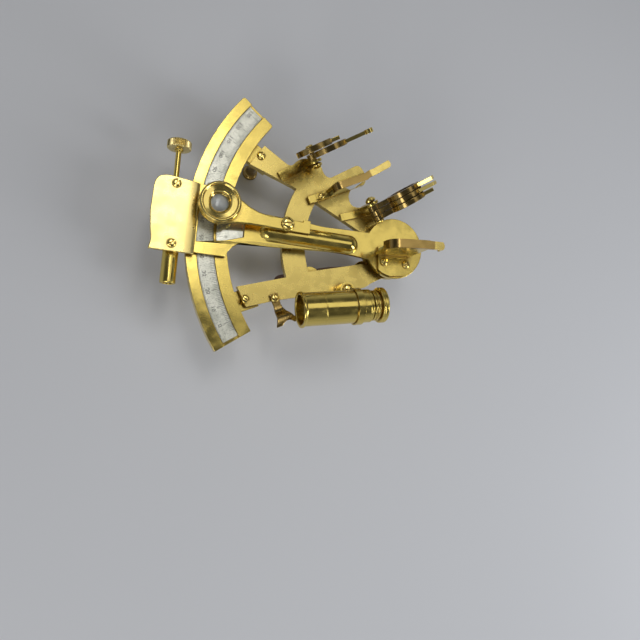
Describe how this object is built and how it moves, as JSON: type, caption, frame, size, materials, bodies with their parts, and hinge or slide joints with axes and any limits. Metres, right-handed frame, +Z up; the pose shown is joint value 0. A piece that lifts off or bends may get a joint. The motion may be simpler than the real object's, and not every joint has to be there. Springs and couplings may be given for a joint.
{
  "type": "nautical sextant",
  "caption": "Pocket-size brass nautical sextant with swinging index arm, mirrors, tinted shades, vernier magnifier and a telescope that swings and draws out.",
  "frame": {"origin": "on the ground under the middle of the whole instrument's bounding box", "axes": "+Z up through the instrument as it lies face up on its three feet, +X from the arc towards the index arm's pivot, +Y towards the horizon mirror's side"},
  "size_m": [0.118, 0.1066, 0.0542],
  "materials": {
    "brass": "polished and lacquered, lightly handled",
    "brass_brushed": "fine brushed satin",
    "brass_dark": "turned, slightly tarnished",
    "brass_bright": "bright turned",
    "silver_scale": "matt silvered",
    "mirror_glass": "silvered plate glass",
    "lens_glass": "polished lens",
    "shade_green": "tinted plate glass",
    "shade_amber": "tinted plate glass",
    "shade_rose": "tinted plate glass",
    "grip_wood": "oiled hardwood"
  },
  "bodies": {
    "frame": {"frame_plate": "brass_brushed", "limb": "brass", "scale_strip": "silver_scale", "limb_screw_upper": "brass_bright", "limb_screw_lower": "brass_bright", "foot_upper": "brass_dark", "foot_lower": "brass_dark", "foot_apex": "brass_dark", "handle_grip": "grip_wood", "handle_post_outer": "brass", "handle_post_inner": "brass", "pivot_bearing": "brass_dark", "horizon_mirror_bracket": "brass", "horizon_mirror_glass": "mirror_glass", "horizon_mirror_clip": "brass_bright", "horizon_bracket_screw": "brass_bright", "horizon_shade_bracket": "brass", "horizon_shade_pin": "brass_bright", "index_shade_bracket": "brass", "index_shade_pin": "brass_bright", "telescope_post": "brass_bright", "telescope_rest": "brass_dark", "rest_screw": "brass_bright"},
    "index_arm": {"index_arm": "brass", "vernier": "silver_scale", "pivot_pin": "brass_bright", "pivot_nut": "brass", "cover_plate": "brass_brushed", "cover_screw_upper": "brass_bright", "cover_screw_lower": "brass_bright", "tangent_block": "brass_dark", "tangent_barrel": "brass", "index_mirror_bracket": "brass", "index_mirror_glass": "mirror_glass", "index_mirror_clip": "brass_bright", "index_bracket_screw_left": "brass_bright", "index_bracket_screw_right": "brass_bright", "magnifier_bar": "brass", "magnifier_pivot_screw": "brass_bright"},
    "tangent": {"tangent_screw": "brass"},
    "magnifier": {"magnifier_arm": "brass", "magnifier_bezel": "brass_bright", "magnifier_lens": "lens_glass"},
    "index_shade_a": {"index_shade_1": "brass_dark", "index_shade_glass_1": "shade_green"},
    "index_shade_b": {"index_shade_2": "brass_dark", "index_shade_glass_2": "shade_amber"},
    "index_shade_c": {"index_shade_3": "brass_dark", "index_shade_glass_3": "shade_rose"},
    "horizon_shade_a": {"horizon_shade_1": "brass_dark", "horizon_shade_glass_1": "shade_green"},
    "horizon_shade_b": {"horizon_shade_2": "brass_dark", "horizon_shade_glass_2": "shade_amber"},
    "telescope": {"telescope_bracket": "brass", "telescope_tube": "brass", "objective_lens": "lens_glass"},
    "eyepiece": {"draw_tube": "brass", "eyepiece_lens": "lens_glass"}
  },
  "joints": [
    {"name": "index_arm_swing", "type": "hinge", "parent": "frame", "child": "index_arm", "pos_m": [0.04496, 0.00021, 0.028], "axis": [0, 0, 1], "range_deg": [-22, 24]},
    {"name": "tangent_screw_turn", "type": "hinge", "parent": "index_arm", "child": "tangent", "pos_m": [-0.05022, -0.0017, 0.024], "axis": [-0.0201, 0.9998, 0], "continuous": true},
    {"name": "magnifier_swing", "type": "hinge", "parent": "index_arm", "child": "magnifier", "pos_m": [-0.00547, 0.001, 0.0345], "axis": [0, 0, 1], "range_deg": [-20, 20]},
    {"name": "index_shade_a_swing", "type": "hinge", "parent": "frame", "child": "index_shade_a", "pos_m": [0.03488, 0.01239, 0.03247], "axis": [0.6133, -0.785, -0.0872], "range_deg": [-20, 95]},
    {"name": "index_shade_b_swing", "type": "hinge", "parent": "frame", "child": "index_shade_b", "pos_m": [0.03488, 0.01239, 0.03247], "axis": [0.6133, -0.785, -0.0872], "range_deg": [-20, 95]},
    {"name": "index_shade_c_swing", "type": "hinge", "parent": "frame", "child": "index_shade_c", "pos_m": [0.03488, 0.01239, 0.03247], "axis": [0.6133, -0.785, -0.0872], "range_deg": [-20, 95]},
    {"name": "horizon_shade_a_swing", "type": "hinge", "parent": "frame", "child": "horizon_shade_a", "pos_m": [0.00462, 0.0323, 0.02991], "axis": [0.5649, -0.8067, -0.1736], "range_deg": [-50, 60]},
    {"name": "horizon_shade_b_swing", "type": "hinge", "parent": "frame", "child": "horizon_shade_b", "pos_m": [0.00462, 0.0323, 0.02991], "axis": [0.5649, -0.8067, -0.1736], "range_deg": [-75, 35]},
    {"name": "telescope_swing", "type": "hinge", "parent": "frame", "child": "telescope", "pos_m": [0.02406, -0.02119, 0.03], "axis": [0, 0, 1], "range_deg": [-100, 0]},
    {"name": "draw_tube_slide", "type": "slide", "parent": "telescope", "child": "eyepiece", "axis": [0.982, 0.1891, 0], "range_m": [0, 0.006]}
  ]
}
